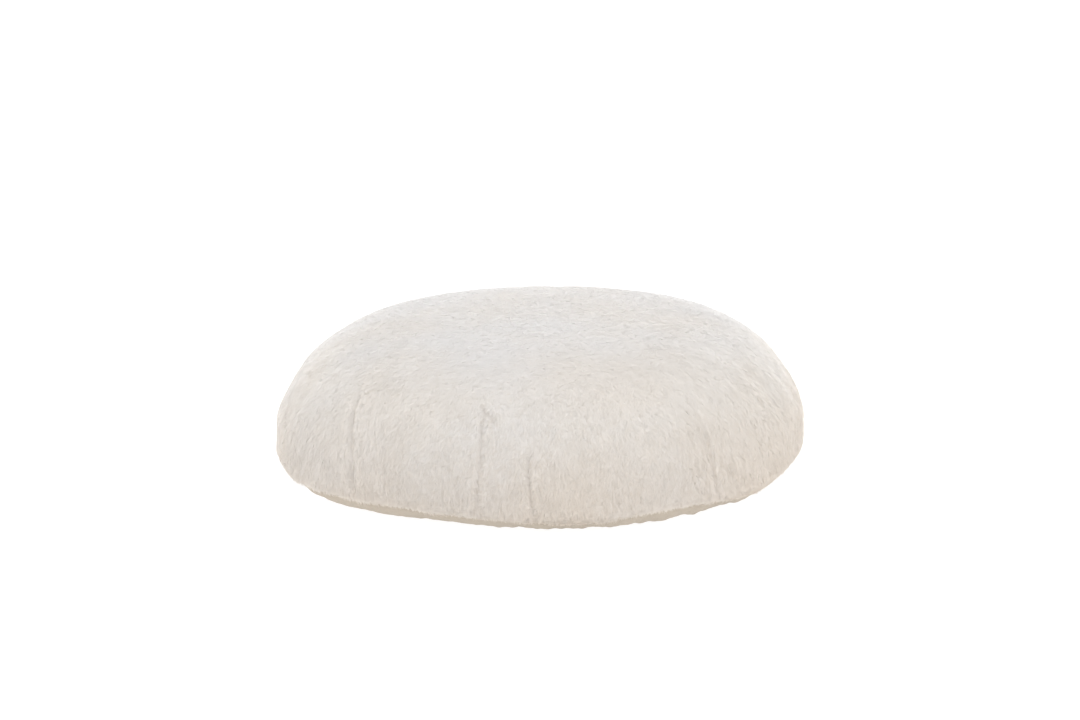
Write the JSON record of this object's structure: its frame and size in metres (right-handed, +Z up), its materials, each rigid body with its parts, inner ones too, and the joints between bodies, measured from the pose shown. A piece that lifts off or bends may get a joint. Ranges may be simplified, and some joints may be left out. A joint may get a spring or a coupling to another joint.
{
  "type": "pet cushion bed",
  "caption": "Round domed plush pet cushion with a zipped removable cover, a sectioned side wall, a turned-up base cloth and an inner bag of fibre filling.",
  "frame": {"origin": "centre of the underside, on the surface the cushion stands on", "axes": "+Z up, out of the crown; -Y is the front and the zip runs round the back, at +Y"},
  "size_m": [0.4992, 0.4994, 0.15],
  "materials": {
    "plush": "matte",
    "base_cloth": "matte",
    "sewing_thread": "matte",
    "zip_tape": "matte",
    "zip_coil": "satin",
    "zip_metal": "satin",
    "casing_cloth": "matte",
    "fibre": "matte",
    "label_cloth": "satin"
  },
  "bodies": {
    "cushion": {"cover_top_panel": "plush", "side_band_front": "plush", "side_band_right": "plush", "side_band_left": "plush", "side_band_rear_upper": "plush", "side_band_rear_lower": "plush", "cover_base_panel": "base_cloth", "top_seam_thread": "sewing_thread", "base_seam_thread": "sewing_thread", "casing_seam_thread": "sewing_thread", "band_seam_thread_front_left": "sewing_thread", "band_seam_thread_front_right": "sewing_thread", "band_seam_thread_rear_right": "sewing_thread", "band_seam_thread_rear_left": "sewing_thread", "inner_casing_top": "casing_cloth", "inner_casing_base": "casing_cloth", "fibre_fill": "fibre", "zip_tape_upper": "zip_tape", "zip_tape_lower": "zip_tape", "zip_coil_upper": "zip_coil", "zip_coil_lower": "zip_coil", "zip_stop_closed_end": "zip_metal", "zip_stop_open_end": "zip_metal", "care_label": "label_cloth"},
    "slider": {"zip_slider": "zip_metal"},
    "pull": {"zip_pull_tab": "zip_metal"}
  },
  "joints": [
    {"name": "zip_slide", "type": "hinge", "parent": "cushion", "child": "slider", "pos_m": [0, 0, 0.052], "axis": [0, 0, 1], "range_deg": [0, 98]},
    {"name": "pull_swing", "type": "hinge", "parent": "slider", "child": "pull", "pos_m": [0.18442, 0.16032, 0.05131], "axis": [0.1231, 0.107, -0.9866], "range_deg": [0, 170]}
  ]
}
